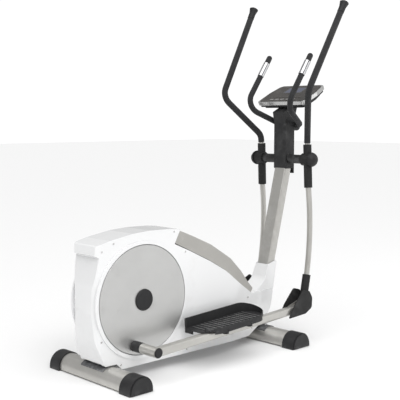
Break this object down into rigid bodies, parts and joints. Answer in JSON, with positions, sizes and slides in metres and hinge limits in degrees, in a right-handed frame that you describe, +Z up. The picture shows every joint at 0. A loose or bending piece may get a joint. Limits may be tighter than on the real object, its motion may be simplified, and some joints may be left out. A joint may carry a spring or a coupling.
{
  "type": "elliptical trainer",
  "caption": "Rear-drive elliptical trainer: crank discs in a casing, pedals on long arms, swinging handles on a leaning mast, and a console.",
  "frame": {"origin": "on the floor under the middle of the overall box", "axes": "+X forward towards the console, +Y to the user's left, +Z up"},
  "size_m": [1.3862, 0.5646, 1.6477],
  "materials": {
    "frame_steel": "satin dark grey paint",
    "silver_tube": "warm silver metallic paint",
    "white_casing": "glossy white moulding",
    "silver_disc": "silver metallic lacquer",
    "grey_cover": "grey-beige fine texture",
    "black_plastic": "black fine texture",
    "black_steel": "black satin paint",
    "bright_steel": "polished plating",
    "flywheel_iron": "machined rim, painted web",
    "foam": "black closed-cell foam",
    "console_face": "dark grey-brown membrane",
    "screen": "dark blue-black window",
    "key_rubber": "grey soft keys",
    "belt_rubber": "ribbed belt",
    "magnet": "dark lacquer with magnet blocks"
  },
  "bodies": {
    "frame": {"main_frame": "frame_steel", "rear_stabilizer": "silver_tube", "front_stabilizer": "silver_tube", "foot_caps": "black_plastic", "stabilizer_bolts": "bright_steel", "casing_right": "white_casing", "casing_left": "white_casing", "spine_cover": "grey_cover", "mast_base_cover": "white_casing", "mast": "silver_tube", "mast_upper_cover": "black_plastic", "pivot_axle": "black_steel", "pivot_caps": "black_plastic", "console_base": "black_plastic", "console_face": "console_face", "console_rim": "silver_disc", "console_lens": "screen", "fixed_handlebar": "foam", "sensor_plates": "bright_steel", "power_inlet": "black_plastic", "casing_screws": "bright_steel", "crank_bearings": "bright_steel", "servo_motor": "black_plastic", "drive_belt": "belt_rubber"},
    "button_1": {"button_1": "key_rubber"},
    "button_2": {"button_2": "key_rubber"},
    "button_3": {"button_3": "key_rubber"},
    "button_4": {"button_4": "key_rubber"},
    "button_5": {"button_5": "key_rubber"},
    "crank": {"crank_axle": "bright_steel", "drive_pulley": "black_plastic", "disc_right": "silver_disc", "disc_left": "silver_disc", "hub_caps": "black_plastic", "crank_arms": "frame_steel", "pin_collars": "black_plastic"},
    "flywheel": {"flywheel": "flywheel_iron"},
    "idler": {"idler_pulley": "black_plastic"},
    "brake": {"brake_magnet": "magnet"},
    "transport_wheels": {"transport_wheels": "black_plastic"},
    "pedal_arm_right": {"pedal_arm_right": "silver_tube", "pin_cap_right": "black_plastic", "joint_boot_right": "black_plastic"},
    "pedal_right": {"pedal_right": "black_plastic", "pedal_knobs_right": "black_plastic"},
    "lower_joint_right": {"lower_sleeve_right": "black_plastic"},
    "swing_arm_right": {"swing_arm_right": "silver_tube", "pivot_sleeve_right": "black_plastic", "grip_right": "foam", "grip_cap_right": "black_plastic"},
    "pedal_arm_left": {"pedal_arm_left": "silver_tube", "pin_cap_left": "black_plastic", "joint_boot_left": "black_plastic"},
    "pedal_left": {"pedal_left": "black_plastic", "pedal_knobs_left": "black_plastic"},
    "lower_joint_left": {"lower_sleeve_left": "black_plastic"},
    "swing_arm_left": {"swing_arm_left": "silver_tube", "pivot_sleeve_left": "black_plastic", "grip_left": "foam", "grip_cap_left": "black_plastic"}
  },
  "joints": [
    {"name": "crank_turn", "type": "hinge", "parent": "frame", "child": "crank", "pos_m": [-0.4423, 0, 0.3215], "axis": [0, -1, 0], "range_deg": [-10, 40]},
    {"name": "flywheel_spin", "type": "hinge", "parent": "frame", "child": "flywheel", "pos_m": [-0.0223, 0, 0.246], "axis": [0, -1, 0], "range_deg": [-80.06, 320.06]},
    {"name": "idler_spin", "type": "hinge", "parent": "frame", "child": "idler", "pos_m": [-0.2279, 0, 0.18764], "axis": [0, -1, 0], "range_deg": [-256.06, 64.06]},
    {"name": "pedal_arm_right_turn", "type": "hinge", "parent": "crank", "child": "pedal_arm_right", "pos_m": [-0.50225, 0, 0.137], "axis": [0, -1, 0], "range_deg": [-39.37, 9.89]},
    {"name": "pedal_right_adjust", "type": "slide", "parent": "pedal_arm_right", "child": "pedal_right", "axis": [0.9986, 0, 0.053], "range_m": [-0.014, 0.014]},
    {"name": "lower_joint_right_turn", "type": "hinge", "parent": "pedal_arm_right", "child": "lower_joint_right", "pos_m": [0.47637, 0, 0.18895], "axis": [0, -1, 0], "range_deg": [-2.62, 10.28]},
    {"name": "swing_arm_right_turn", "type": "hinge", "parent": "frame", "child": "swing_arm_right", "pos_m": [0.5402, 0, 0.878], "axis": [0, -1, 0], "range_deg": [-2.79, 10.97]},
    {"name": "pedal_arm_left_turn", "type": "hinge", "parent": "crank", "child": "pedal_arm_left", "pos_m": [-0.38235, 0, 0.50601], "axis": [0, -1, 0], "range_deg": [-38.09, 9.57]},
    {"name": "pedal_left_adjust", "type": "slide", "parent": "pedal_arm_left", "child": "pedal_left", "axis": [0.9452, 0, -0.3265], "range_m": [-0.014, 0.014]},
    {"name": "lower_joint_left_turn", "type": "hinge", "parent": "pedal_arm_left", "child": "lower_joint_left", "pos_m": [0.54393, 0, 0.18601], "axis": [0, -1, 0], "range_deg": [-12.86, 3.26]},
    {"name": "swing_arm_left_turn", "type": "hinge", "parent": "frame", "child": "swing_arm_left", "pos_m": [0.5402, 0, 0.878], "axis": [0, -1, 0], "range_deg": [-10.89, 2.77]},
    {"name": "brake_swing", "type": "hinge", "parent": "frame", "child": "brake", "pos_m": [0.1267, 0, 0.136], "axis": [0, 1, 0], "range_deg": [0, 6]},
    {"name": "transport_wheels_roll", "type": "hinge", "parent": "frame", "child": "transport_wheels", "pos_m": [0.4067, 0, 0.028], "axis": [0, 1, 0], "continuous": true},
    {"name": "button_1_press", "type": "slide", "parent": "frame", "child": "button_1", "axis": [0.4305, 0, -0.9026], "range_m": [0, 0.0015], "stiffness_N_per_m": 400, "springref_m": -0.0004},
    {"name": "button_2_press", "type": "slide", "parent": "frame", "child": "button_2", "axis": [0.4305, 0, -0.9026], "range_m": [0, 0.0015], "stiffness_N_per_m": 400, "springref_m": -0.0004},
    {"name": "button_3_press", "type": "slide", "parent": "frame", "child": "button_3", "axis": [0.4305, 0, -0.9026], "range_m": [0, 0.0015], "stiffness_N_per_m": 400, "springref_m": -0.0004},
    {"name": "button_4_press", "type": "slide", "parent": "frame", "child": "button_4", "axis": [0.4305, 0, -0.9026], "range_m": [0, 0.0015], "stiffness_N_per_m": 400, "springref_m": -0.0004},
    {"name": "button_5_press", "type": "slide", "parent": "frame", "child": "button_5", "axis": [0.4305, 0, -0.9026], "range_m": [0, 0.0015], "stiffness_N_per_m": 400, "springref_m": -0.0004}
  ],
  "couplings": [
    {"joint": "flywheel_spin", "follows": "crank_turn", "ratio": 8},
    {"joint": "idler_spin", "follows": "crank_turn", "ratio": -6.4},
    {"joint": "pedal_arm_right_turn", "follows": "crank_turn", "ratio": -0.9828},
    {"joint": "lower_joint_right_turn", "follows": "crank_turn", "ratio": 0.2555},
    {"joint": "swing_arm_right_turn", "follows": "crank_turn", "ratio": 0.2727},
    {"joint": "pedal_arm_left_turn", "follows": "crank_turn", "ratio": -0.9508},
    {"joint": "lower_joint_left_turn", "follows": "crank_turn", "ratio": -0.3199},
    {"joint": "swing_arm_left_turn", "follows": "crank_turn", "ratio": -0.2707}
  ]
}
